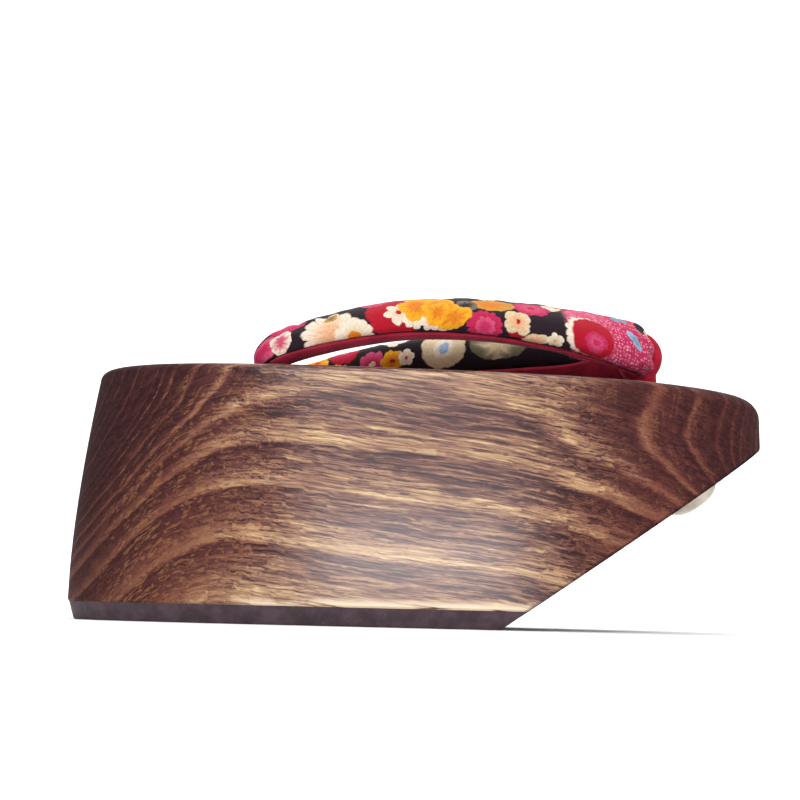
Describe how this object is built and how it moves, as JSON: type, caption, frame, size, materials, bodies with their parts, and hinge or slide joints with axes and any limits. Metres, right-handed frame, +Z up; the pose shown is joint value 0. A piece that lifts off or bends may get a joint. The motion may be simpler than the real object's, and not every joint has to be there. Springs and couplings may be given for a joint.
{
  "type": "geta",
  "caption": "Tall block geta: a solid scorched-wood platform with slanted toe and hollow underside, rubber outsole, and a padded V strap held by a front thong under a metal plate.",
  "frame": {"origin": "on the floor under the middle of the length and width", "axes": "+X to the toe, +Y to the wearer's left, +Z up"},
  "size_m": [0.2318, 0.1, 0.1073],
  "materials": {
    "wood": "scorched and brushed, satin lacquer",
    "rubber": "matt",
    "print_cloth": "flower-printed crepe, padded",
    "backing_cloth": "plain crimson weave",
    "velvet": "red pile",
    "plated_metal": "satin plating"
  },
  "bodies": {
    "root": {"wood_platform": "wood", "rubber_outsole": "rubber", "padded_strap": "print_cloth", "strap_backing": "backing_cloth", "front_thong": "velvet", "metal_toe_plate": "plated_metal", "plate_nail_upper": "plated_metal", "plate_nail_lower": "plated_metal"}
  },
  "joints": []
}
